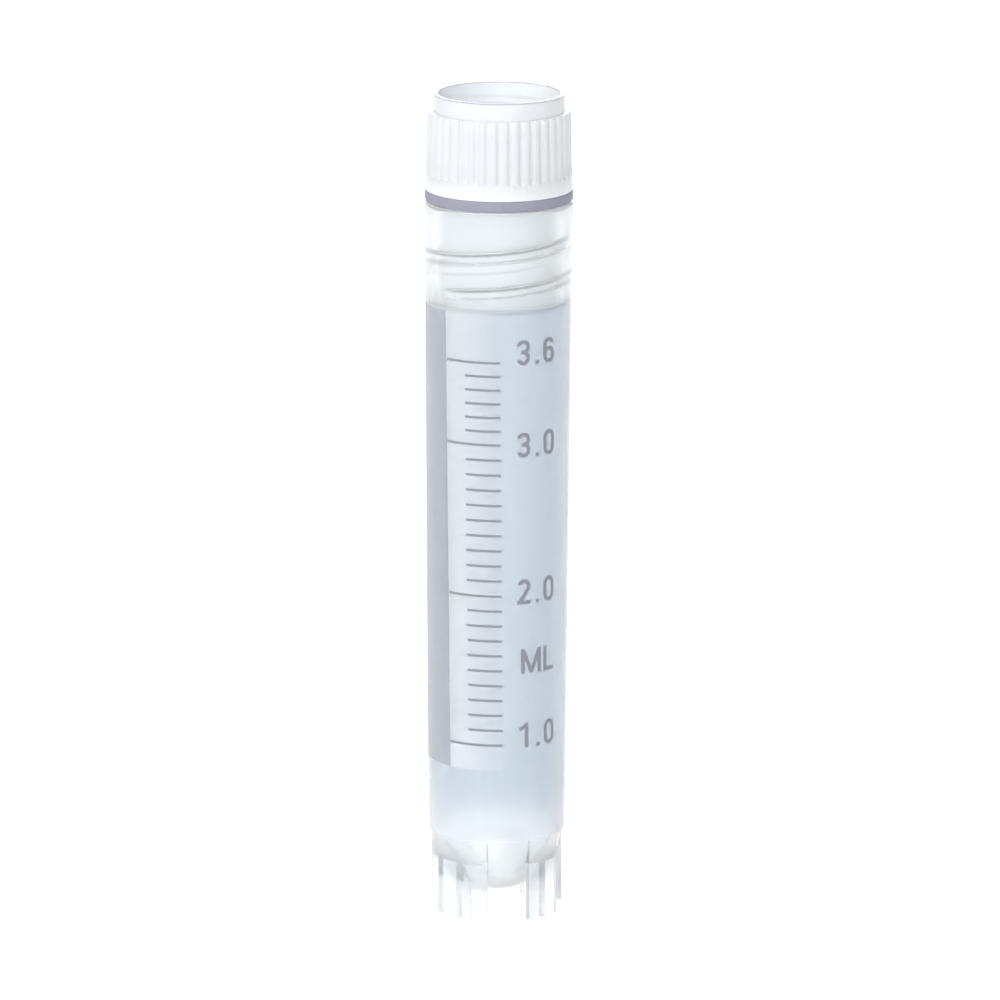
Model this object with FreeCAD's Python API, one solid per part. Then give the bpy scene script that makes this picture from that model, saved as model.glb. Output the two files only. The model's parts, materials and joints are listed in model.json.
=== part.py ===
"""Cryovial: a self-standing vial, threaded inside its neck, with a ribbed screw cap and a washer.

The vial stands on its foot at Z = 0 with its axis on +Z. Its graduated side faces -Y.
Lengths are in millimetres. Angles round the axis are in degrees, from the front (-Y) towards +X.
Each piece is written to parts/NODE.step.
"""

import FreeCAD, Part

import math
import os

from FreeCAD import Vector

# ---------------------------------------------------------------- driving dimensions

# vial tube
vial_height = 61.4  # from the surface it stands on to its rim
neck_outer_d = 12.5  # plain neck, the widest part
neck_height = 5.9
neck_step = 0.1  # the body lies this far inside the neck
neck_step_height = 0.4
body_bottom_outer_d = 11.62  # at the foot line, where the tube becomes the foot
body_edge_chamfer = 0.06
wall_at_top = 1.0
wall_at_bottom = 1.0
floor_thickness = 0.9
rim_round = 0.18
mouth_chamfer = 0.27
mouth_chamfer_depth = 0.45

# foot: a thin skirt cut into legs, with locking ribs that point at the axis
dome_step = 0.31  # the round bottom starts this far inside the tube's outside
dome_clearance = 1.6  # from the surface it stands on to the round bottom
foot_step = 0.12  # the skirt lies this far inside the tube's outside
foot_wall = 0.65
slot_angle = 37.2
slot_places = (10.7, 82.7)  # middles of the slots in half of the foot; the other half repeats it
rib_places = (-61.3, -35.7, 46.7)  # and of the ribs
rib_thickness = 0.7
rib_length = 1.2  # inwards from the skirt
root_sink = 0.35  # a leg or rib runs this far into the wall that it grows from

# thread, single start, right hand
thread_pitch = 3.0
thread_turns = 1.4
thread_start_angle = -60.0
thread_start_depth = 7.4  # from the rim to the middle of the vial's ridge at its lower end
thread_ridge_root = 1.1  # width of a ridge along the axis
thread_ridge_crest = 0.5
thread_ridge_height = 0.4
thread_wall = 0.8  # neck wall behind the thread
thread_bite = 0.2  # a ridge runs this far into the wall that it stands on
thread_fade_angle = 36.0  # over which a ridge rises from its end
thread_fade_margin = 0.05  # a fade starts this far beyond the ridge's root
thread_relief = 0.4  # plain bore below the thread
thread_ledge = 0.5  # height of the cone from there to the tube's bore
crest_gap = 0.15  # from the plug's crest to the neck
root_gap = 0.2  # from the vial's crest to the plug
flank_gap = 0.12  # along the axis, on the flanks that pull the cap down

# washer
washer_thickness = 0.9
washer_inset = 0.05  # its edge lies this far inside the neck's outside
washer_round = 0.15
washer_bore_gap = 0.1

# cap
cap_height = 8.1  # above the washer
cap_bottom_inset = 0.05  # its lower edge lies this far inside the neck's outside
cap_band_height = 1.3
cap_band_lean = 0.08  # the plain band narrows by this much, up to where the ribs end
cap_rib_lean = 0.12  # and the ribs by this much, up to the shoulder
cap_shoulder_width = 0.5
cap_shoulder_round = 0.25
cap_collar_height = 1.45
cap_collar_wall = 0.43
cap_recess_depth = 1.1  # seat of a colour-coding disc
cap_ledge_width = 1.35  # between the recess's wall and the dish in its middle
cap_dish_depth = 0.3
cap_edge_round = 0.12
cap_roof = 1.2
groove_count = 40
groove_r = 0.3
groove_depth = 0.2
plug_wall = 1.05
plug_depth = 8.8  # below the vial's rim
plug_end_round = 0.3
plug_roof_chamfer = 0.5
plug_thread_lead = 110.0  # the plug's ridge starts this far on round the thread
plug_thread_turns = 1.25

# ---------------------------------------------------------------- sizes that follow

ORIGIN = Vector(0, 0, 0)
AXIS = Vector(0, 0, 1)
SIDEWAYS = Vector(0, 1, 0)
FULL_TURN = 360.0
HALF_TURN = 180.0
FRONT = -90.0  # the front, as an angle from +X

neck_r = neck_outer_d / 2
rim_z = vial_height
body_top_z = rim_z - neck_height
body_top_r = neck_r - neck_step
body_bottom_r = body_bottom_outer_d / 2
dome_r = body_bottom_r - dome_step
body_bottom_z = dome_clearance + dome_r
foot_r = body_bottom_r - foot_step
foot_inner_r = foot_r - foot_wall
rib_inner_r = foot_inner_r - rib_length

bore_top_r = body_top_r - wall_at_top
bore_bottom_r = body_bottom_r - wall_at_bottom
bore_centre_z = dome_clearance + floor_thickness + bore_bottom_r  # of the round bottom, inside

vial_root_r = neck_r - thread_wall
vial_crest_r = vial_root_r - thread_ridge_height
plug_crest_r = vial_root_r - crest_gap
plug_root_r = vial_crest_r - root_gap
plug_bore_r = plug_root_r - plug_wall
thread_start_z = rim_z - thread_start_depth
thread_bottom_z = thread_start_z - thread_ridge_root / 2 - thread_relief

washer_r = neck_r - washer_inset
washer_bore_r = plug_root_r + washer_bore_gap
washer_top_z = rim_z + washer_thickness

cap_bottom_r = neck_r - cap_bottom_inset
cap_band_r = cap_bottom_r - cap_band_lean
cap_rib_top_r = cap_band_r - cap_rib_lean
cap_collar_r = cap_rib_top_r - cap_shoulder_width
cap_recess_r = cap_collar_r - cap_collar_wall
cap_dish_r = cap_recess_r - cap_ledge_width
cap_band_z = washer_top_z + cap_band_height
cap_top_z = washer_top_z + cap_height
cap_shoulder_z = cap_top_z - cap_collar_height
recess_floor_z = cap_top_z - cap_recess_depth
dish_floor_z = recess_floor_z - cap_dish_depth
plug_end_z = rim_z - plug_depth
plug_roof_z = dish_floor_z - cap_roof


# ---------------------------------------------------------------- small helpers


def direction(angle):
    """Unit vector at this angle from the front, towards +X."""
    a = math.radians(angle)
    return Vector(math.sin(a), -math.cos(a), 0)


def arc(centre, radius, start, end):
    """Middle and end points of an arc in an outline, from start to end degrees about centre."""
    points = []
    for angle in ((start + end) / 2, end):
        a = math.radians(angle)
        points.append((centre[0] + radius * math.cos(a), centre[1] + radius * math.sin(a)))
    return tuple(points)


def outline(*parts):
    """Closed wire in the XZ plane. Each part is a corner (r, z) or an arc() from the part before it."""
    edges = []
    here = Vector(parts[0][0], 0, parts[0][1])
    for part in parts[1:] + parts[:1]:
        if isinstance(part[0], tuple):
            middle, end = (Vector(r, 0, z) for r, z in part)
            edges.append(Part.Arc(here, middle, end).toShape())
        else:
            end = Vector(part[0], 0, part[1])
            edges.append(Part.LineSegment(here, end).toShape())
        here = end
    return Part.Wire(edges)


def turned(wire):
    """The solid that a closed outline makes, turned about the axis."""
    return Part.Face(wire).revolve(ORIGIN, AXIS, FULL_TURN)


def ridge(root_r, crest_r, turns, start_angle, start_z):
    """Right-hand helical ridge that stands on root_r and points at crest_r, with both ends faded out."""
    out = 1 if crest_r > root_r else -1
    flank = (thread_ridge_root - thread_ridge_crest) / 2 / abs(crest_r - root_r)
    base = thread_ridge_root / 2 + flank * thread_bite
    tip = thread_ridge_crest / 2
    base_r = root_r - out * thread_bite
    profile = outline((base_r, -base), (base_r, base), (crest_r, tip), (crest_r, -tip))
    path = Part.makeHelix(thread_pitch, thread_pitch * turns, root_r)
    shape = path.makePipeShell([profile], True, True)
    shape.rotate(ORIGIN, AXIS, start_angle + FRONT)
    shape.translate(Vector(0, 0, start_z))
    end_angle = start_angle + FULL_TURN * turns
    end_z = start_z + thread_pitch * turns
    low = fade(root_r, crest_r, start_angle, start_z, 1)
    high = fade(root_r, crest_r, end_angle, end_z, -1)
    return shape.cut([low, high])


def fade(root_r, crest_r, angle, end_z, way):
    """Cutter for a ridge's end: its off-centre wall meets the root at this angle and the crest later."""
    out = 1 if crest_r > root_r else -1
    reach = root_r - out * thread_fade_margin
    offset = (reach - crest_r) / (1 - math.cos(math.radians(thread_fade_angle)))
    rise = thread_pitch * thread_fade_angle / FULL_TURN
    height = rise + 2 * thread_ridge_root
    low_z = end_z + way * rise / 2 - height / 2
    wall = Part.makeCylinder(reach - offset, height, direction(angle) * offset + AXIS * low_z, AXIS)
    if out < 0:
        return wall
    return Part.makeCylinder(neck_r, height, AXIS * low_z, AXIS).cut(wall)


# ---------------------------------------------------------------- vial


def vial_tube():
    """Neck, tapered tube and round bottom, as one turned wall."""
    return turned(
        outline(
            (0, dome_clearance),
            arc((0, body_bottom_z), dome_r, -90, 0),
            (body_bottom_r - body_edge_chamfer, body_bottom_z),
            (body_bottom_r, body_bottom_z + body_edge_chamfer),
            (body_top_r, body_top_z - neck_step_height),
            (neck_r, body_top_z),
            (neck_r, rim_z - rim_round),
            arc((neck_r - rim_round, rim_z - rim_round), rim_round, 0, 90),
            (vial_root_r + mouth_chamfer, rim_z),
            (vial_root_r, rim_z - mouth_chamfer_depth),
            (vial_root_r, thread_bottom_z),
            (bore_top_r, thread_bottom_z - thread_ledge),
            (bore_bottom_r, bore_centre_z),
            arc((0, bore_centre_z), bore_bottom_r, 0, -90),
        )
    )


def both_halves(places):
    return [*places, *(place + HALF_TURN for place in places)]


def foot_legs():
    """The skirt between the slots, each leg a part of a ring."""
    slots = both_halves(slot_places)
    top_z = body_bottom_z + root_sink
    legs = []
    for here, after in zip(slots, slots[1:] + [slots[0] + FULL_TURN]):
        section = outline((foot_inner_r, 0), (foot_r, 0), (foot_r, top_z), (foot_inner_r, top_z))
        section.rotate(ORIGIN, AXIS, here + slot_angle / 2 + FRONT)
        legs.append(Part.Face(section).revolve(ORIGIN, AXIS, after - here - slot_angle))
    return legs


def foot_ribs():
    """Radial ribs behind the skirt, up to the round bottom."""
    length = rib_length + root_sink
    corner = Vector(rib_inner_r, -rib_thickness / 2, 0)
    above = Part.makeSphere(dome_r - root_sink, AXIS * body_bottom_z)
    ribs = []
    for place in both_halves(rib_places):
        rib = Part.makeBox(length, rib_thickness, body_bottom_z, corner)
        rib.rotate(ORIGIN, AXIS, place + FRONT)
        ribs.append(rib.cut(above))
    return ribs


def vial():
    thread = ridge(vial_root_r, vial_crest_r, thread_turns, thread_start_angle, thread_start_z)
    return vial_tube().fuse([thread, *foot_legs(), *foot_ribs()])


# ---------------------------------------------------------------- washer


def sealing_washer():
    r = washer_round
    return turned(
        outline(
            (washer_bore_r, rim_z),
            (washer_r - r, rim_z),
            arc((washer_r - r, rim_z + r), r, -90, 0),
            (washer_r, washer_top_z - r),
            arc((washer_r - r, washer_top_z - r), r, 0, 90),
            (washer_bore_r, washer_top_z),
        )
    )


# ---------------------------------------------------------------- cap


def cap_body():
    """Collar with its recess, ribbed side before the grooves, and hollow plug, as one turned shape."""
    edge, shoulder, end = cap_edge_round, cap_shoulder_round, plug_end_round
    return turned(
        outline(
            (0, dish_floor_z),
            (cap_dish_r - cap_dish_depth, dish_floor_z),
            (cap_dish_r, recess_floor_z),
            (cap_recess_r, recess_floor_z),
            (cap_recess_r, cap_top_z - edge),
            arc((cap_recess_r + edge, cap_top_z - edge), edge, 180, 90),
            (cap_collar_r - edge, cap_top_z),
            arc((cap_collar_r - edge, cap_top_z - edge), edge, 90, 0),
            (cap_collar_r, cap_shoulder_z),
            (cap_rib_top_r - shoulder, cap_shoulder_z),
            arc((cap_rib_top_r - shoulder, cap_shoulder_z - shoulder), shoulder, 90, 0),
            (cap_band_r, cap_band_z),
            (cap_bottom_r, washer_top_z + edge),
            arc((cap_bottom_r - edge, washer_top_z + edge), edge, 0, -90),
            (plug_root_r, washer_top_z),
            (plug_root_r, plug_end_z + end),
            arc((plug_root_r - end, plug_end_z + end), end, 0, -90),
            (plug_bore_r + end, plug_end_z),
            arc((plug_bore_r + end, plug_end_z + end), end, -90, -180),
            (plug_bore_r, plug_roof_z - plug_roof_chamfer),
            (plug_bore_r - plug_roof_chamfer, plug_roof_z),
            (0, plug_roof_z),
        )
    )


def cap_grooves():
    """Grip grooves between the ribs, round at the bottom, open at the shoulder, leaning with the side."""
    length = cap_top_z - cap_band_z
    lean = math.degrees(math.atan2(cap_rib_lean, cap_shoulder_z - cap_band_z))
    foot = Vector(cap_band_r + groove_r - groove_depth, 0, cap_band_z + groove_r)
    grooves = []
    for n in range(groove_count):
        groove = Part.makeCylinder(groove_r, length, ORIGIN, AXIS).fuse(Part.makeSphere(groove_r))
        groove.rotate(ORIGIN, SIDEWAYS, -lean)
        groove.translate(foot)
        groove.rotate(ORIGIN, AXIS, FULL_TURN * n / groove_count + FRONT)
        grooves.append(groove)
    return grooves


def plug_thread():
    """Ridge on the plug. It runs a flank gap below the vial's, and so holds the cap on the washer."""
    overlap = plug_crest_r - vial_crest_r
    flank = (thread_ridge_root - thread_ridge_crest) / 2
    vial_half = thread_ridge_crest / 2 + flank * overlap / thread_ridge_height
    plug_half = thread_ridge_crest / 2
    drop = vial_half + plug_half + flank_gap
    start_angle = thread_start_angle + plug_thread_lead
    start_z = thread_start_z + thread_pitch * plug_thread_lead / FULL_TURN - drop
    return ridge(plug_root_r, plug_crest_r, plug_thread_turns, start_angle, start_z)


def screw_cap():
    return cap_body().cut(cap_grooves()).fuse([plug_thread()])


# ---------------------------------------------------------------- build


def main():
    os.makedirs("parts", exist_ok=True)
    pieces = {"vial": vial(), "sealing_washer": sealing_washer(), "screw_cap": screw_cap()}
    for name, shape in pieces.items():
        shape.exportStep(f"parts/{name}.step")
        print(name, "solids", len(shape.Solids), "valid", shape.isValid(), "mm3", round(shape.Volume, 1))


main()
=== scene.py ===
import json
import math

import bmesh
import bpy
from mathutils import Matrix, Vector


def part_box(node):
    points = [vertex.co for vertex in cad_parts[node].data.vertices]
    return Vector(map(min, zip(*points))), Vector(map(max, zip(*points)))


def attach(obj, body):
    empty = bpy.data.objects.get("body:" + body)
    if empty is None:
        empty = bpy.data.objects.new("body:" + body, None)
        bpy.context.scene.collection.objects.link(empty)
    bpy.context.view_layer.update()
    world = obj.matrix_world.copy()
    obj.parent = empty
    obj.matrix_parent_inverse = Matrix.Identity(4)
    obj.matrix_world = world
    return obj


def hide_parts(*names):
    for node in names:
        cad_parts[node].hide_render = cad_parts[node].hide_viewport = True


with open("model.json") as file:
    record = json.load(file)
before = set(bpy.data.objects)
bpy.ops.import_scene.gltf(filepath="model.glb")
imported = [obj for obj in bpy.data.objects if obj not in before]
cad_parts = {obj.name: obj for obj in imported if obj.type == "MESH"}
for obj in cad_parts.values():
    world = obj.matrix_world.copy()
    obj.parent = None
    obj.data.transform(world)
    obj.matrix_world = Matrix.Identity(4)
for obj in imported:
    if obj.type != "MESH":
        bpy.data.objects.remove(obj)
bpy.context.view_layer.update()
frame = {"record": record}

# The cryovial's looks: a natural polypropylene vial with a printed scale and writing area, a grey washer
# and a milky screw cap. Pieces are modelled in millimetres and finished in metres. Angles are in degrees
# round the axis, from the front (-Y) towards +X.

# ---------------------------------------------------------------- sizes from the frame

MM = 0.001
FULL_TURN = 360.0
HALF_TURN = 180.0


def box_mm(node):
    low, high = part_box(node)
    return low / MM, high / MM


vial_high = box_mm("vial")[1]
washer_high = box_mm("sealing_washer")[1]
cap_low, cap_high = box_mm("screw_cap")
mounts = {mount["name"]: mount for mount in frame["record"]["mounts"]}

neck_r = vial_high.x
rim_z = vial_high.z
washer_r = washer_high.x
washer_top_z = washer_high.z
cap_bottom_r = cap_high.x
cap_top_z = cap_high.z
cap_recess_r = mounts["insert_seat"]["dims"]["r_mm"]
plug_end_z = cap_low.z

# ---------------------------------------------------------------- sizes of the vial

neck_height = 5.9
neck_step = 0.1
neck_step_height = 0.4
neck_edge_cut = 0.02  # the step's upper corner is cut back this far
neck_edge_height = 0.05  # and over this height above and below it
body_bottom_r = 5.81
body_edge_round = 0.06
wall = 1.0
floor_thickness = 0.9
rim_round = 0.18
mouth_chamfer = 0.27
mouth_chamfer_depth = 0.45

dome_step = 0.31
dome_clearance = 1.6
foot_step = 0.12
foot_wall = 0.65
slot_angle = 37.2
slot_places = (10.7, 82.7)  # middles of the slots in half of the foot; the other half repeats it
rib_places = (-61.3, -35.7, 46.7)  # and of the ribs
rib_thickness = 0.7
rib_length = 1.2
rib_root = 0.08  # a rib runs this far into the skirt
root_sink = 0.35  # legs and ribs run this far into the tube
foot_edge_round = 0.07

body_top_z = rim_z - neck_height
body_top_r = neck_r - neck_step
dome_r = body_bottom_r - dome_step
body_bottom_z = dome_clearance + dome_r
foot_r = body_bottom_r - foot_step
foot_inner_r = foot_r - foot_wall
rib_inner_r = foot_inner_r - rib_length
bore_top_r = body_top_r - wall
bore_bottom_r = body_bottom_r - wall
bore_centre_z = dome_clearance + floor_thickness + bore_bottom_r

# ---------------------------------------------------------------- sizes of the thread

thread_pitch = 3.0
thread_turns = 1.4
thread_start_angle = -60.0
thread_start_depth = 7.4  # from the rim down to the middle of the ridge's start
thread_ridge_root = 1.1
thread_ridge_crest = 0.5
thread_fade_angle = 30.0
thread_run_out = 0.95  # threaded wall below the middle of the ridge's start
thread_ledge = 0.5
thread_wall = 0.8
thread_ridge_depth = 0.4
crest_line = 0.2  # half the height of the painted shade line along the ridge's upper edge
plug_root_gap = 0.2  # from the vial's crest
plug_crest_gap = 0.15  # from the vial's root
plug_thread_lead = 110.0  # degrees from the start of the vial's ridge to the start of the plug's
plug_thread_turns = 1.25
plug_thread_drop = 0.93  # the plug's ridge hangs this far under the vial's

thread_top_z = rim_z - mouth_chamfer_depth
thread_start_z = rim_z - thread_start_depth
thread_bottom_z = thread_start_z - thread_run_out
vial_root_r = neck_r - thread_wall
vial_crest_r = vial_root_r - thread_ridge_depth
plug_root_r = vial_crest_r - plug_root_gap
plug_crest_r = vial_root_r - plug_crest_gap

# ---------------------------------------------------------------- sizes of the washer and the cap

washer_bore_gap = 0.1  # from the plug's root
washer_round = 0.15

cap_foot_step = 0.08  # from the cap's foot in to its plain band
cap_band_height = 1.3
cap_rib_taper = 0.12
cap_shoulder_round = 0.25
cap_collar_height = 1.45
cap_collar_wall = 0.43
cap_recess_depth = 1.1
cap_dish_ledge = 1.35
cap_dish_depth = 0.3  # its edge slopes by as much
cap_edge_round = 0.12
cap_roof = 1.2
cap_plug_fade = 0.3  # height over which the plug's solid white ends
groove_count = 40
groove_r = 0.3
groove_depth = 0.2
plug_wall = 1.05
plug_end_round = 0.3
plug_roof_chamfer = 0.5

washer_bore_r = plug_root_r + washer_bore_gap
cap_band_r = cap_bottom_r - cap_foot_step
cap_band_z = washer_top_z + cap_band_height
cap_rib_top_r = cap_band_r - cap_rib_taper
cap_shoulder_z = cap_top_z - cap_collar_height
cap_collar_r = cap_recess_r + cap_collar_wall
cap_recess_z = cap_top_z - cap_recess_depth
cap_dish_r = cap_recess_r - cap_dish_ledge
plug_bore_r = plug_root_r - plug_wall

# ---------------------------------------------------------------- sizes of the print

print_gap = 0.004  # between the tube and the back of the ink
ink_thickness = 0.012
print_twist = 0.1  # degrees that the print leans per millimetre downwards
print_z = 48.67  # height at which the angles below are taken
scale_marks = {1.0: 15.66, 2.0: 28.63, 3.0: 41.65, 3.6: 48.67}
patch_low_z = 13.45
patch_high_z = 52.75
patch_start = -45.3
patch_end = -186.0
mark_width = 0.21
long_mark_start = -44.8
short_mark_start = -27.3
mark_end = 1.5
label_height = 2.15
label_places = {
    "3.6": (14.4, 49.5),
    "3.0": (14.4, 41.6),
    "2.0": (14.2, 28.95),
    "ML": (17.2, 22.9),
    "1.0": (14.6, 16.45),
}
letter_starts = {3: (0, 1.69, 2.51), 2: (0, 2.2)}  # millimetres round the tube, in a number and the unit
letter_width = 0.56  # of the letter's height, as are all sizes inside a letter
stroke_width = 0.155

dull_fade = 0.4  # height over which the tube's duller skin ends above the writing area
cool_at_foot = 0.5  # share of the cool tint at the foot
cool_rise = 5.0  # height over which it comes to the full
painted_shade_turn = 60.0  # degrees from the writing area over which the bare wall takes the cool tint and its painted shade

# ---------------------------------------------------------------- how fine the meshes are

TUBE_STEPS = 256  # faces in a full turn
WASHER_STEPS = 192
GROOVE_STEPS = 10  # faces across each groove and rib of the cap
BOTTOM_STEPS = 28  # faces along a round stretch of an outline
EDGE_STEPS = 5
CAP_EDGE_STEPS = 4
SHOULDER_STEPS = 6
RIB_TOP_STEPS = 8
LEG_STEP = 2.0  # degrees between columns of the foot's skirt
PRINT_STEP = 2.0  # and of a printed shape
BEND_STEP = 15  # degrees of a letter's bend in one face
PEN_STEP = 0.1  # length of a letter's straight stroke in one face
WALL_ROW = 1.0  # heights of a row of faces, in millimetres
NECK_ROW = 1.5
THREAD_ROW = 0.1
CLOSE_ROW = 0.06  # above and below each end of the writing area
SHOULDER_ROW = 0.12
RIB_ROW = 1.2
GROOVE_END_ROW = 0.05
PATCH_ROWS = 16
SEAM = 1e-5  # vertices closer than this become one where copies of a sector meet
SAME = 1e-4  # lengths closer than this are the same
NEAR = 1e-3  # slack where vertices are picked by their radius
SHARP_ANGLE = 32.0  # edges sharper than this stay crisp
ROUND_ANGLE = 40.0  # and on the foot those sharper than this are rounded
SECTORS = 16


# ---------------------------------------------------------------- small helpers


def direction(angle):
    a = math.radians(angle)
    return Vector((math.sin(a), -math.cos(a), 0))


def angle_of(point):
    return math.degrees(math.atan2(point.x, -point.y))


def tube_r(z):
    """Outside radius of the plain tube at this height."""
    rise = (z - body_bottom_z) / (body_top_z - neck_step_height - body_bottom_z)
    return body_bottom_r + (body_top_r - body_bottom_r) * rise


def smooth(t):
    t = min(1.0, max(0.0, t))
    return t * t * (3 - 2 * t)


def arc(centre, radius, start, end, steps):
    """Points of a round stretch of an outline after its start, in degrees about centre."""
    points = []
    for n in range(1, steps + 1):
        a = math.radians(start + (end - start) * n / steps)
        points.append((centre[0] + radius * math.cos(a), centre[1] + radius * math.sin(a)))
    return points


def run(start, end, step):
    """Points of a straight stretch of an outline after its start, no further apart than step."""
    count = math.ceil(math.dist(start, end) / step)
    return [tuple(a + (b - a) * n / count for a, b in zip(start, end)) for n in range(1, count + 1)]


def about_axis(angle):
    return Matrix.Rotation(math.radians(angle), 3, "Z")


def turned(outline, steps, closed=False):
    """A mesh turned about the axis from an outline of (r, z): one sector, doubled until it closes."""
    bm = bmesh.new()
    verts = [bm.verts.new((0, -r, z)) for r, z in outline]
    pairs = list(zip(verts, verts[1:] + verts[:1]))
    edges = [bm.edges.new(pair) for pair in (pairs if closed else pairs[:-1])]
    angle = FULL_TURN / SECTORS
    spin(bm, verts + edges, angle, steps // SECTORS)
    while angle < FULL_TURN:
        made = bmesh.ops.duplicate(bm, geom=[*bm.verts, *bm.edges, *bm.faces])["geom"]
        bmesh.ops.rotate(bm, verts=only_verts(made), matrix=about_axis(angle))
        angle *= 2
    bmesh.ops.remove_doubles(bm, verts=bm.verts, dist=SEAM)
    bmesh.ops.recalc_face_normals(bm, faces=bm.faces)
    return bm


def spin(bm, geom, angle, steps):
    turn = math.radians(angle)
    bmesh.ops.spin(bm, geom=geom, cent=(0, 0, 0), axis=(0, 0, 1), angle=turn, steps=steps)


def only_verts(geom):
    return [part for part in geom if isinstance(part, bmesh.types.BMVert)]


def plain_object(bm, name):
    mesh = bpy.data.meshes.new(name)
    bm.to_mesh(mesh)
    bm.free()
    made = bpy.data.objects.new(name, mesh)
    bpy.context.scene.collection.objects.link(made)
    return made


def finish(bm, name, body, material):
    """The finished piece, in metres. Sharp edges stay crisp, but not on a thread's ridge."""
    limit = math.radians(SHARP_ANGLE)
    for face in bm.faces:
        face.smooth = True
    for edge in bm.edges:
        on_ridge = edge.verts[0].tag or edge.verts[1].tag
        edge.smooth = on_ridge or edge.calc_face_angle(math.pi) < limit
    bmesh.ops.scale(bm, vec=(MM, MM, MM), verts=bm.verts)
    piece = plain_object(bm, name)
    piece.data.materials.append(material)
    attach(piece, body)
    return piece


# ---------------------------------------------------------------- thread


def raise_ridge(bm, root_r, crest_r, turns, start_angle, start_z):
    """Pushes a threaded wall's vertices from root_r to crest_r along a helix that fades out at both ends.

    The vertices that move are tagged.
    """
    for vert in bm.verts:
        vert.tag = False
    half_root, half_crest = thread_ridge_root / 2, thread_ridge_crest / 2
    sweep = FULL_TURN * turns
    for vert in bm.verts:
        r = math.hypot(vert.co.x, vert.co.y)
        if abs(r - root_r) > SAME:
            continue
        height = 0.0
        along = (angle_of(vert.co) - start_angle) % FULL_TURN
        while along < sweep:
            off = abs(vert.co.z - start_z - thread_pitch * along / FULL_TURN)
            flank = smooth((half_root - off) / (half_root - half_crest))
            fade = smooth(min(along, sweep - along) / thread_fade_angle)
            height = max(height, flank * fade)
            along += FULL_TURN
        vert.tag = height > 0
        grow = (root_r + (crest_r - root_r) * height) / r
        vert.co.x *= grow
        vert.co.y *= grow


def mark_crest(bm):
    """Marks a line along the upper edge of the vial's ridge, painted dark as the shade of light that the
    ridge bends away.
    """
    crest = bm.verts.layers.float.new("crest")
    sweep = FULL_TURN * thread_turns
    edge_z = thread_start_z + thread_ridge_crest / 2
    for vert in bm.verts:
        r = math.hypot(vert.co.x, vert.co.y)
        if vert.co.z < thread_bottom_z or not vial_crest_r - NEAR < r < vial_root_r + NEAR:
            continue
        along = (angle_of(vert.co) - thread_start_angle) % FULL_TURN
        while along < sweep:
            off = abs(vert.co.z - edge_z - thread_pitch * along / FULL_TURN)
            fade = smooth(min(along, sweep - along) / thread_fade_angle)
            vert[crest] = max(vert[crest], fade * smooth(1 - off / crest_line))
            along += FULL_TURN


# ---------------------------------------------------------------- vial


def printed_rows(start, end):
    """A straight stretch of a wall's outline, with close rows at the writing area's two ends."""
    (start_r, start_z), (end_r, end_z) = start, end
    rows = [z + gap for z in (patch_low_z, patch_high_z) for gap in (-CLOSE_ROW, CLOSE_ROW)]
    rows.sort(reverse=end_z < start_z)
    points = [start]
    for z in rows:
        share = (z - start_z) / (end_z - start_z)
        points += run(points[-1], (start_r + (end_r - start_r) * share, z), WALL_ROW)
    return points[1:] + run(points[-1], end, WALL_ROW)


def mark_skin(bm):
    """Marks where the skin is dull, between the foot and the neck, and where bare wall there gets a cool
    tint that grows into painted shade away from the writing area.

    The little wall above the writing area counts as part of the area.
    """
    dull = bm.verts.layers.float.new("dull")
    cool_and_shade = bm.verts.layers.float.new("cool_and_shade")
    for vert in bm.verts:
        z = vert.co.z
        if z > body_bottom_z + body_edge_round / 2:
            vert[dull] = smooth((patch_high_z + dull_fade - z) / dull_fade)
        away = FULL_TURN
        if z > patch_low_z:
            angle = angle_of(vert.co) - print_twist * (print_z - z)
            away = min(angle - patch_start, patch_end + FULL_TURN - angle)
        from_foot = cool_at_foot + (1 - cool_at_foot) * smooth((z - body_bottom_z) / cool_rise)
        # The cool tint is the plastic's own bluish tone, and its growth away from the writing area is
        # painted shade.
        vert[cool_and_shade] = vert[dull] * from_foot * smooth(away / painted_shade_turn)


def vial_tube():
    chamfer_start = (vial_root_r + mouth_chamfer, rim_z)
    thread_top = (vial_root_r, thread_top_z)
    thread_end = (vial_root_r, thread_bottom_z)
    bore_top = (bore_top_r, thread_bottom_z - thread_ledge)
    foot_line = (body_bottom_r, body_bottom_z + body_edge_round)
    step_foot = (body_top_r, body_top_z - neck_step_height)
    outline = [(0, dome_clearance)]
    outline += arc((0, body_bottom_z), dome_r, -90, 0, BOTTOM_STEPS)
    outline += [(body_bottom_r - body_edge_round, body_bottom_z), foot_line]
    outline += printed_rows(foot_line, step_foot)
    outline += [(neck_r - neck_edge_cut, body_top_z - neck_edge_height)]
    outline += [(neck_r, body_top_z + neck_edge_height)]
    outline += run(outline[-1], (neck_r, rim_z - rim_round), NECK_ROW)
    outline += arc((neck_r - rim_round, rim_z - rim_round), rim_round, 0, 90, EDGE_STEPS)
    outline += [chamfer_start, thread_top]
    outline += run(thread_top, thread_end, THREAD_ROW)
    outline += [bore_top]
    outline += printed_rows(bore_top, (bore_bottom_r, bore_centre_z))
    outline += arc((0, bore_centre_z), bore_bottom_r, 0, -90, BOTTOM_STEPS)
    return turned(outline, TUBE_STEPS)


def round_edges(bm, width):
    sharp = [e for e in bm.edges if e.calc_face_angle(0) > math.radians(ROUND_ANGLE)]
    bmesh.ops.bevel(
        bm, geom=sharp, offset=width, offset_type="OFFSET", affect="EDGES",
        segments=2, profile=0.5, material=-1, clamp_overlap=True,
    )


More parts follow.
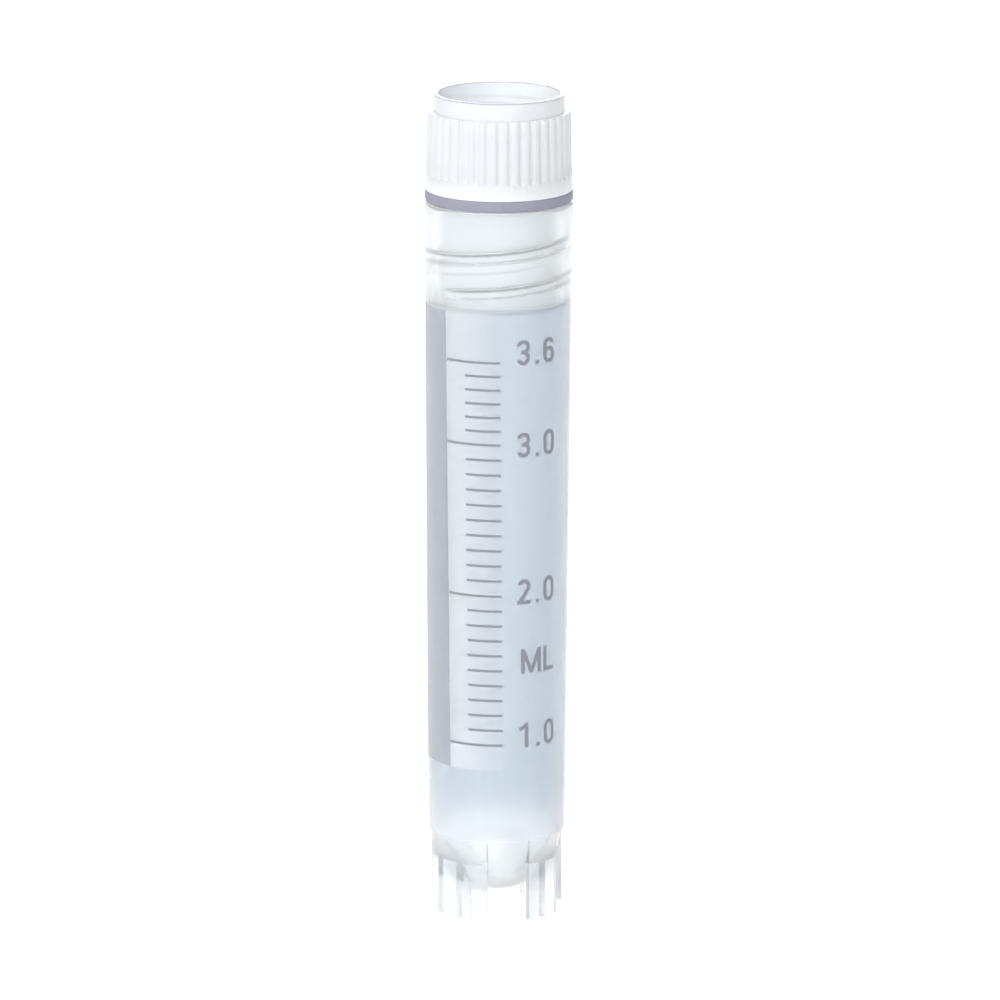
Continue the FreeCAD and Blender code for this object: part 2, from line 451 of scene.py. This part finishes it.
def leg(start, sweep):
    """A stretch of the foot's skirt."""
    bm = bmesh.new()
    top_z = body_bottom_z + root_sink
    corners = ((foot_inner_r, 0), (foot_r, 0), (foot_r, top_z), (foot_inner_r, top_z))
    section = bm.faces.new([bm.verts.new((0, -r, z)) for r, z in corners])
    spin(bm, [section, *section.edges, *section.verts], sweep, math.ceil(sweep / LEG_STEP))
    close(bm)
    round_edges(bm, foot_edge_round)
    bmesh.ops.rotate(bm, verts=bm.verts, matrix=about_axis(start))
    return bm


def close(bm):
    open_edges = [e for e in bm.edges if e.is_boundary]
    if open_edges:
        bmesh.ops.holes_fill(bm, edges=open_edges, sides=0)
    bmesh.ops.recalc_face_normals(bm, faces=bm.faces)


def rib(angle):
    """A radial rib behind the skirt. Its top lies inside the round bottom's wall."""
    bm = bmesh.new()
    top_r = dome_r - root_sink
    outer_r = foot_inner_r + rib_root
    start = -math.degrees(math.acos(outer_r / top_r))
    end = -math.degrees(math.acos(rib_inner_r / top_r))
    top = arc((0, body_bottom_z), top_r, start, end, RIB_TOP_STEPS)
    outer_top_z = body_bottom_z + top_r * math.sin(math.radians(start))
    corners = [(rib_inner_r, 0), (outer_r, 0), (outer_r, outer_top_z)]
    side = -rib_thickness / 2
    face = bm.faces.new([bm.verts.new((side, -r, z)) for r, z in corners + top])
    made = bmesh.ops.extrude_face_region(bm, geom=[face])["geom"]
    bmesh.ops.translate(bm, vec=(rib_thickness, 0, 0), verts=only_verts(made))
    close(bm)
    round_edges(bm, foot_edge_round)
    bmesh.ops.rotate(bm, verts=bm.verts, matrix=about_axis(angle))
    return bm


def both_halves(places):
    return [*places, *(place + HALF_TURN for place in places)]


def foot_parts():
    slots = both_halves(slot_places)
    parts = []
    for here, after in zip(slots, slots[1:] + [slots[0] + FULL_TURN]):
        parts.append(leg(here + slot_angle / 2, after - here - slot_angle))
    parts += [rib(place) for place in both_halves(rib_places)]
    return parts


def joined(shapes):
    """One closed skin round several overlapping ones."""
    first, *others = [plain_object(shape, "part") for shape in shapes]
    for other in others:
        join = first.modifiers.new(other.name, "BOOLEAN")
        join.operation = "UNION"
        join.solver = "MANIFOLD"
        join.object = other
    bm = bmesh.new()
    bm.from_object(first, bpy.context.evaluated_depsgraph_get())
    for made in [first, *others]:
        bpy.data.objects.remove(made)
    return bm


def vial():
    """The tube and its foot, grown together."""
    bm = joined([vial_tube(), *foot_parts()])
    bmesh.ops.dissolve_degenerate(bm, edges=bm.edges, dist=SAME)
    raise_ridge(bm, vial_root_r, vial_crest_r, thread_turns, thread_start_angle, thread_start_z)
    mark_crest(bm)
    mark_skin(bm)
    piece = finish(bm, "vial_body", "vial", natural_polypropylene())
    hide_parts("vial")


# ---------------------------------------------------------------- washer


def washer():
    r = washer_round
    outline = [(washer_bore_r, rim_z), (washer_r - r, rim_z)]
    outline += arc((washer_r - r, rim_z + r), r, -90, 0, EDGE_STEPS)
    outline += [(washer_r, washer_top_z - r)]
    outline += arc((washer_r - r, washer_top_z - r), r, 0, 90, EDGE_STEPS)
    outline += [(washer_bore_r, washer_top_z)]
    bm = turned(outline, WASHER_STEPS, closed=True)
    piece = finish(bm, "washer", "washer", grey_silicone())
    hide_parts("sealing_washer")


# ---------------------------------------------------------------- cap


def cap_body():
    edge, shoulder, end = cap_edge_round, cap_shoulder_round, plug_end_round
    groove_foot_z = cap_band_z + groove_r
    plug_top = (plug_root_r, washer_top_z)
    plug_foot = (plug_root_r, plug_end_z + end)
    dish_z = cap_recess_z - cap_dish_depth
    plug_roof_z = dish_z - cap_roof
    outline = [(0, dish_z), (cap_dish_r - cap_dish_depth, dish_z), (cap_dish_r, cap_recess_z)]
    outline += [(cap_recess_r, cap_recess_z), (cap_recess_r, cap_top_z - edge)]
    outline += arc((cap_recess_r + edge, cap_top_z - edge), edge, 180, 90, CAP_EDGE_STEPS)
    outline += arc((cap_collar_r - edge, cap_top_z - edge), edge, 90, 0, CAP_EDGE_STEPS)
    outline += [(cap_collar_r, cap_shoulder_z)]
    outline += run(outline[-1], (cap_rib_top_r - shoulder, cap_shoulder_z), SHOULDER_ROW)
    outline += arc((cap_rib_top_r - shoulder, cap_shoulder_z - shoulder), shoulder, 90, 0, SHOULDER_STEPS)
    outline += run(outline[-1], (side_r(groove_foot_z), groove_foot_z), RIB_ROW)
    outline += run(outline[-1], (cap_band_r, cap_band_z), GROOVE_END_ROW)
    outline += [(cap_bottom_r, washer_top_z + edge)]
    outline += arc((cap_bottom_r - edge, washer_top_z + edge), edge, 0, -90, CAP_EDGE_STEPS)
    outline += [plug_top]
    outline += run(plug_top, plug_foot, THREAD_ROW)
    outline += arc((plug_root_r - end, plug_end_z + end), end, 0, -90, EDGE_STEPS)
    outline += arc((plug_bore_r + end, plug_end_z + end), end, -90, -180, EDGE_STEPS)
    outline += [(plug_bore_r, plug_roof_z - plug_roof_chamfer)]
    outline += [(plug_bore_r - plug_roof_chamfer, plug_roof_z), (0, plug_roof_z)]
    return turned(outline, groove_count * GROOVE_STEPS)


def side_r(z):
    """Radius of the cap's ribs at this height."""
    rise = (z - cap_band_z) / (cap_shoulder_z - cap_band_z)
    return cap_band_r + (cap_rib_top_r - cap_band_r) * rise


def press_grooves(bm):
    """Presses the grip grooves into the cap's side: round at the foot, open at the shoulder."""
    pitch = FULL_TURN / groove_count
    foot_z = cap_band_z + groove_r
    for vert in bm.verts:
        if not cap_band_z - SAME < vert.co.z < cap_shoulder_z + SAME:
            continue
        r = math.hypot(vert.co.x, vert.co.y)
        if r < cap_collar_r + NEAR:
            continue
        off_angle = (angle_of(vert.co) + pitch / 2) % pitch - pitch / 2
        across = r * math.sin(math.radians(off_angle))
        below = max(0.0, foot_z - vert.co.z)
        room = groove_r**2 - across**2 - below**2
        if room <= 0:
            continue
        floor_r = side_r(vert.co.z) + groove_r - groove_depth - math.sqrt(room)
        if floor_r < r:
            vert.co.x *= floor_r / r
            vert.co.y *= floor_r / r


def cap():
    bm = cap_body()
    press_grooves(bm)
    start_angle = thread_start_angle + plug_thread_lead
    start_z = thread_start_z + thread_pitch * plug_thread_lead / FULL_TURN - plug_thread_drop
    raise_ridge(bm, plug_root_r, plug_crest_r, plug_thread_turns, start_angle, start_z)
    plug = bm.verts.layers.float.new("plug")
    rim_shade = bm.verts.layers.float.new("rim_shade")
    for vert in bm.verts:
        vert[plug] = smooth((washer_top_z - vert.co.z) / cap_plug_fade + 1)
        # Painted shade: a lavender grey band along the cap's upper rim, where the thin translucent edge
        # bends light away.
        vert[rim_shade] = smooth((vert.co.z - cap_top_z) / cap_edge_round + 1)
    piece = finish(bm, "cap", "cap", milky_polypropylene())
    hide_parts("screw_cap")


# ---------------------------------------------------------------- print


def lay_on_tube(bm):
    """Wraps a flat print round the tube. X is the angle, Z the height and Y the depth outwards."""
    for vert in bm.verts:
        angle = vert.co.x + print_twist * (print_z - vert.co.z)
        r = tube_r(vert.co.z) + print_gap + vert.co.y
        vert.co = direction(angle) * r + Vector((0, 0, vert.co.z))
    bmesh.ops.recalc_face_normals(bm, faces=bm.faces)


def ink_layer(bm):
    """Gives a flat print on the XZ plane its thickness."""
    made = bmesh.ops.extrude_face_region(bm, geom=list(bm.faces), use_keep_orig=True)["geom"]
    bmesh.ops.translate(bm, vec=(0, ink_thickness, 0), verts=only_verts(made))


def flat_area(bm, start, end, low_z, high_z, rows=1):
    """A printed area between two angles and two heights, in columns that can follow the tube."""
    columns = max(1, round(abs(end - start) / PRINT_STEP))
    made = bmesh.ops.create_grid(bm, x_segments=columns, y_segments=rows, size=0.5)["verts"]
    flat = Matrix.Rotation(math.radians(90), 3, "X")
    bmesh.ops.rotate(bm, verts=made, matrix=flat)
    bmesh.ops.scale(bm, vec=(abs(end - start), 1, high_z - low_z), verts=made)
    bmesh.ops.translate(bm, vec=((start + end) / 2, 0, (low_z + high_z) / 2), verts=made)


def writing_patch():
    bm = bmesh.new()
    flat_area(bm, patch_start, patch_end, patch_low_z, patch_high_z, PATCH_ROWS)
    ink_layer(bm)
    # Painted shade: the ink turns grey towards its outer face and stays white on the plastic.
    outer_face_shade = bm.verts.layers.float.new("outer_face_shade")
    for vert in bm.verts:
        vert[outer_face_shade] = vert.co.y / ink_thickness
    lay_on_tube(bm)
    finish(bm, "writing_patch", "vial", white_screen_ink())


def mark_z(volume):
    """Height of the mark for a volume: a numbered mark's, or in between two of them."""
    known = sorted(scale_marks)
    low, high = next(pair for pair in zip(known, known[1:]) if volume <= pair[1])
    share = (volume - low) / (high - low)
    return scale_marks[low] + share * (scale_marks[high] - scale_marks[low])


def scale_lines(ink):
    """A mark at every tenth of a millilitre, longer where it has a number."""
    bm = bmesh.new()
    lowest, highest = round(10 * min(scale_marks)), round(10 * max(scale_marks))
    for tenth in range(lowest, highest + 1):
        volume = tenth / 10
        start = long_mark_start if volume in scale_marks else short_mark_start
        z = mark_z(volume)
        flat_area(bm, start, mark_end, z - mark_width / 2, z + mark_width / 2)
    ink_layer(bm)
    lay_on_tube(bm)
    finish(bm, "scale_lines", "vial", ink)


def stroke(start, heading, moves):
    """A stroke of a broad pen on the XZ plane, as a thin shell. Lengths are in letter heights.

    It leaves start along heading, in degrees from +X towards +Z. A move is a length straight on, or the
    radius and the angle of a bend, which is positive to the left.
    """
    bm = bmesh.new()
    place = Vector((start[0], 0, start[1]))
    half = Vector((0, 0, stroke_width / 2))
    pen = [bm.verts.new(place + turned_flat(half * side, heading)) for side in (1, -1)]
    pen.append(bm.edges.new(pen))
    for move in moves:
        if isinstance(move, tuple):
            radius, bend = move
            side = math.copysign(radius, bend)
            centre = place + turned_flat(Vector((0, 0, side)), heading)
            steps = math.ceil(abs(bend) / BEND_STEP)
            made = bmesh.ops.spin(
                bm, geom=pen, cent=centre, axis=(0, -1, 0), angle=math.radians(bend), steps=steps
            )
            heading += bend
            place = centre - turned_flat(Vector((0, 0, side)), heading)
        else:
            steps = math.ceil(move / PEN_STEP)
            ahead = turned_flat(Vector((move, 0, 0)), heading)
            made = bmesh.ops.spin(bm, geom=pen, dvec=ahead / steps, axis=(0, -1, 0), angle=0, steps=steps)
            place += ahead
        pen = made["geom_last"]
    bmesh.ops.remove_doubles(bm, verts=bm.verts, dist=SAME)
    ink_layer(bm)
    bmesh.ops.recalc_face_normals(bm, faces=bm.faces)
    return bm


def turned_flat(vector, angle):
    return Matrix.Rotation(math.radians(-angle), 3, "Y") @ vector


def pen_strokes(letter):
    """Start, heading and moves of each stroke of a letter one high. Its curves have the radius bow."""
    bow = (letter_width - stroke_width) / 2
    left = stroke_width / 2
    middle = left + bow
    low, high = stroke_width / 2 + bow, 1 - stroke_width / 2 - bow
    waist = high - bow
    hook = 165
    tip = (middle + bow * math.cos(math.radians(hook)), high + bow * math.sin(math.radians(hook)))
    ring = [high - low, (bow, -180), high - low, (bow, -180)]
    return {
        "0": [((left, low), 90, ring)],
        "1": [((0.35, 0), 90, [1.0]), ((0.06, 0.73), 33, [0.34])],
        "2": [(tip, hook - 90, [(bow, -198), 0.63]), ((0, left), 0, [letter_width])],
        "3": [
            (tip, hook - 90, [(bow, -90 - hook), 0.08]),
            ((middle - 0.08, waist), 0, [0.08, (bow, -90), waist - bow - low, (bow, -165)]),
        ],
        "6": [
            ((left, low), 90, [0.095, (bow, -180), 0.095, (bow, -180)]),
            ((left, low), 90, [high - low, (bow, -165)]),
        ],
        "M": [
            ((left, 0), 90, [1.0]),
            ((0.885 - left, 0), 90, [1.0]),
            ((0.09, 0.97), -69, [1.0]),
            ((0.795, 0.97), -111, [1.0]),
        ],
        "L": [((left, 0), 90, [1.0]), ((0, left), 0, [0.53])],
        ".": [((0, left), 0, [0.165])],
    }[letter]


def labels(ink):
    bm = bmesh.new()
    for text, (start, z) in label_places.items():
        for letter, ahead in zip(text, letter_starts[len(text)]):
            part = joined([stroke(*pen_stroke) for pen_stroke in pen_strokes(letter)])
            across = label_height * math.degrees(1 / tube_r(z))
            bmesh.ops.scale(part, vec=(across, 1, label_height), verts=part.verts)
            from_start = start + ahead * math.degrees(1 / tube_r(z))
            bmesh.ops.translate(part, vec=(from_start, 0, z - label_height / 2), verts=part.verts)
            letter_mesh = bpy.data.meshes.new("letter")
            part.to_mesh(letter_mesh)
            part.free()
            bm.from_mesh(letter_mesh)
            bpy.data.meshes.remove(letter_mesh)
    lay_on_tube(bm)
    finish(bm, "scale_numbers", "vial", ink)


# ---------------------------------------------------------------- materials


def colour(hex_value):
    """Linear RGBA of an sRGB hex value."""
    parts = [int(hex_value[n : n + 2], 16) / 255 for n in (0, 2, 4)]
    linear = [c / 12.92 if c <= 0.04045 else ((c + 0.055) / 1.055) ** 2.4 for c in parts]
    return (*linear, 1.0)


SHARE, FIRST, SECOND = 0, 6, 7  # the inputs of a Mix node that blends colours
BLEND = 2  # and its output


def add(tree, kind, inputs=(), **settings):
    """Adds a node. An input is a value or another node's output socket."""
    node = tree.nodes.new(kind)
    for name, value in settings.items():
        setattr(node, name, value)
    for name, value in dict(inputs).items():
        if isinstance(value, bpy.types.NodeSocket):
            tree.links.new(value, node.inputs[name])
        else:
            node.inputs[name].default_value = value
    return node


def new_material(name):
    material = bpy.data.materials.new(name)
    material.use_nodes = True
    material.node_tree.nodes.clear()
    return material, material.node_tree


def uneven_colour(tree, first, second, size, detail=2.0):
    """A colour that drifts between two over patches of about this many millimetres."""
    where = add(tree, "ShaderNodeTexCoord").outputs["Object"]
    scale = 1 / (size * MM)
    drift = add(tree, "ShaderNodeTexNoise", {"Vector": where, "Scale": scale, "Detail": detail})
    blend = {SHARE: drift.outputs["Fac"], FIRST: colour(first), SECOND: colour(second)}
    return add(tree, "ShaderNodeMix", blend, data_type="RGBA").outputs[BLEND]


def natural_polypropylene():
    """Moulded without pigment: cloudy, cool and see-through, with a satin skin.

    The tube's skin is duller than the foot's and the neck's, so what lies behind it is only a soft shape.
    Its bare wall has the plastic's own cool tint, which grows away from the writing area as painted
    shade.
    The plastic itself takes a little light, so thick places look deeper, and a dark line along the
    thread's upper edge is painted shade where the ridge bends light away.
    """
    material, tree = new_material("natural_polypropylene_moulded")
    mark = {
        name: add(tree, "ShaderNodeAttribute", attribute_name=name).outputs["Fac"]
        for name in ("cool_and_shade", "dull", "crest")
    }
    cloud = uneven_colour(tree, "F8FCFE", "FDFEFF", 6)
    # Partly the plastic's own cool tint, partly painted shade away from the writing area.
    tinted_and_shaded = {SHARE: mark["cool_and_shade"], FIRST: cloud, SECOND: colour("DFE7EF")}
    tinted_and_shaded = add(tree, "ShaderNodeMix", tinted_and_shaded, data_type="RGBA").outputs[BLEND]
    # Painted shade: a dark line along the thread ridge's upper edge, where the ridge bends light away.
    with_crest_shade = {SHARE: mark["crest"], FIRST: tinted_and_shaded, SECOND: colour("3C464F")}
    with_crest_shade = add(tree, "ShaderNodeMix", with_crest_shade, data_type="RGBA").outputs[BLEND]
    clear = {"Value": mark["dull"], "To Min": 0.84, "To Max": 0.62}
    clear = add(tree, "ShaderNodeMapRange", clear).outputs["Result"]
    clear = {"Value": mark["crest"], "To Min": clear, "To Max": 0.08}
    clear = add(tree, "ShaderNodeMapRange", clear).outputs["Result"]
    satin = {"Base Color": with_crest_shade, "Roughness": 0.25, "IOR": 1.49, "Transmission Weight": clear}
    shader = add(tree, "ShaderNodeBsdfPrincipled", satin)
    depth = add(tree, "ShaderNodeVolumeAbsorption", {"Color": colour("D5DDE6"), "Density": 40.0})
    surfaces = {"Surface": shader.outputs["BSDF"], "Volume": depth.outputs["Volume"]}
    add(tree, "ShaderNodeOutputMaterial", surfaces)
    return material


def milky_polypropylene():
    """Moulded with a little white pigment: bright and soft.

    The skirt is slightly see-through, its thin rim is painted lavender grey as shade, and the plug is
    solid white.
    """
    material, tree = new_material("milky_polypropylene_moulded")
    plug = add(tree, "ShaderNodeAttribute", attribute_name="plug").outputs["Fac"]
    rim_shade = add(tree, "ShaderNodeAttribute", attribute_name="rim_shade").outputs["Fac"]
    milk = uneven_colour(tree, "EEF2F6", "F4F7FA", 2)
    # Painted shade on the band along the upper rim.
    skirt = {SHARE: rim_shade, FIRST: milk, SECOND: colour("989CB2")}
    skirt = add(tree, "ShaderNodeMix", skirt, data_type="RGBA").outputs[BLEND]
    whole = {SHARE: plug, FIRST: skirt, SECOND: colour("F7FAFB")}
    whole = add(tree, "ShaderNodeMix", whole, data_type="RGBA").outputs[BLEND]
    clear = add(tree, "ShaderNodeMapRange", {"Value": plug, "To Min": 0.25, "To Max": 0.0})
    clear = clear.outputs["Result"]
    soft = {"Base Color": whole, "Roughness": 0.34, "IOR": 1.49, "Transmission Weight": clear}
    shader = add(tree, "ShaderNodeBsdfPrincipled", soft)
    add(tree, "ShaderNodeOutputMaterial", {"Surface": shader.outputs["BSDF"]})
    return material


def grey_silicone():
    """Moulded silicone rubber: a soft, dull lavender grey."""
    material, tree = new_material("grey_silicone_moulded")
    grey = uneven_colour(tree, "9092A2", "9A9CAB", 0.5, 3.0)
    shader = add(tree, "ShaderNodeBsdfPrincipled", {"Base Color": grey, "Roughness": 0.6, "IOR": 1.41})
    add(tree, "ShaderNodeOutputMaterial", {"Surface": shader.outputs["BSDF"]})
    return material


def white_screen_ink():
    """Screen-printed white ink, thin enough to let light through.

    Its face on the plastic is white, and its outer face is painted grey as shade.
    """
    material, tree = new_material("white_ink_screen_printed")
    outer_face_shade = add(tree, "ShaderNodeAttribute", attribute_name="outer_face_shade").outputs["Fac"]
    # Painted shade: a grey for the ink's outer face, white for its face on the plastic.
    shade_grey = uneven_colour(tree, "B8BFC9", "C1C8D1", 0.4, 3.0)
    lit_and_shaded_ink = {SHARE: outer_face_shade, FIRST: colour("F9FCFA"), SECOND: shade_grey}
    lit_and_shaded_ink = add(tree, "ShaderNodeMix", lit_and_shaded_ink, data_type="RGBA").outputs[BLEND]
    thin = {"Base Color": lit_and_shaded_ink, "Roughness": 0.9, "IOR": 1.5, "Transmission Weight": 0.8}
    shader = add(tree, "ShaderNodeBsdfPrincipled", thin)
    add(tree, "ShaderNodeOutputMaterial", {"Surface": shader.outputs["BSDF"]})
    return material


def grey_screen_ink():
    """Screen-printed: thin grey lines with a slightly uneven coat."""
    material, tree = new_material("grey_ink_screen_printed")
    grey = uneven_colour(tree, "7F858D", "8B9098", 0.3, 3.0)
    shader = add(tree, "ShaderNodeBsdfPrincipled", {"Base Color": grey, "Roughness": 0.5, "IOR": 1.5})
    add(tree, "ShaderNodeOutputMaterial", {"Surface": shader.outputs["BSDF"]})
    return material


# ---------------------------------------------------------------- floor, light and camera

CAMERA_DISTANCE = 0.606
CAMERA_ELEVATION = 13.6
CAMERA_ROLL = 0.21
CAMERA_LENS = 258.7
CAMERA_TARGET = Vector((0.000188, 0, 0.03552))

LAMP_SIZE = 0.7
LAMPS = {  # place and power
    "key": ((-0.75, -0.55, 0.55), 3.4),
    "top": ((0.0, -0.2, 1.0), 1.0),
    "back": ((0.0, 0.95, 0.35), 5.5),
    "front": ((0.0, -0.9, 0.45), 4.0),
}


def seen_ray(tree):
    """1 for rays whose surroundings should look plain white: straight, mirrored or through plastic."""
    path = add(tree, "ShaderNodeLightPath").outputs
    mirrored = {0: path["Is Camera Ray"], 1: path["Is Glossy Ray"]}
    mirrored = add(tree, "ShaderNodeMath", mirrored, operation="MAXIMUM").outputs[0]
    through = {0: mirrored, 1: path["Is Transmission Ray"]}
    return add(tree, "ShaderNodeMath", through, operation="MAXIMUM").outputs[0]


def studio_world():
    world = bpy.data.worlds.new("studio")
    world.use_nodes = True
    tree = world.node_tree
    tree.nodes.clear()
    room = add(tree, "ShaderNodeBackground", {"Color": colour("FFFFFF"), "Strength": 0.54})
    white = add(tree, "ShaderNodeBackground", {"Color": colour("FFFFFF"), "Strength": 1.0})
    mix = {"Fac": seen_ray(tree), 1: room.outputs[0], 2: white.outputs[0]}
    mix = add(tree, "ShaderNodeMixShader", mix)
    add(tree, "ShaderNodeOutputWorld", {"Surface": mix.outputs[0]})
    bpy.context.scene.world = world


def floor_paint():
    material, tree = new_material("pale_floor")
    matt = add(tree, "ShaderNodeBsdfDiffuse", {"Color": colour("E8E8E8")})
    glow = add(tree, "ShaderNodeEmission", {"Color": colour("FFFFFF"), "Strength": 0.75})
    lit = add(tree, "ShaderNodeAddShader", {0: matt.outputs[0], 1: glow.outputs[0]})
    mix = add(tree, "ShaderNodeMixShader", {"Fac": seen_ray(tree), 1: matt.outputs[0], 2: lit.outputs[0]})
    add(tree, "ShaderNodeOutputMaterial", {"Surface": mix.outputs[0]})
    return material


def floor():
    bm = bmesh.new()
    bmesh.ops.create_grid(bm, x_segments=4, y_segments=4, size=3.0)
    piece = plain_object(bm, "floor")
    piece.data.materials.append(floor_paint())


def lamp(name, place, power):
    light = bpy.data.lights.new(name, "AREA")
    light.shape = "DISK"
    light.size = LAMP_SIZE
    light.energy = power
    made = bpy.data.objects.new(name, light)
    made.location = place
    made.rotation_euler = (CAMERA_TARGET - Vector(place)).to_track_quat("-Z", "Y").to_euler()
    bpy.context.scene.collection.objects.link(made)


def camera():
    data = bpy.data.cameras.new("camera")
    data.lens = CAMERA_LENS
    data.clip_start = 0.01
    data.clip_end = 20
    made = bpy.data.objects.new("camera", data)
    rise = math.radians(CAMERA_ELEVATION)
    back = Vector((0, -math.cos(rise), math.sin(rise)))
    made.location = CAMERA_TARGET + back * CAMERA_DISTANCE
    level = Matrix.Rotation(math.radians(90 - CAMERA_ELEVATION), 4, "X")
    roll = Matrix.Rotation(math.radians(CAMERA_ROLL), 4, "Z")
    made.rotation_euler = (level @ roll).to_euler()
    bpy.context.scene.collection.objects.link(made)
    bpy.context.scene.camera = made


# ---------------------------------------------------------------- build


def main():
    vial()
    washer()
    cap()
    writing_patch()
    grey_ink = grey_screen_ink()
    scale_lines(grey_ink)
    labels(grey_ink)
    floor()
    studio_world()
    for name, (place, power) in LAMPS.items():
        lamp(name, place, power)
    camera()
    bpy.context.scene.view_settings.view_transform = "Standard"


main()
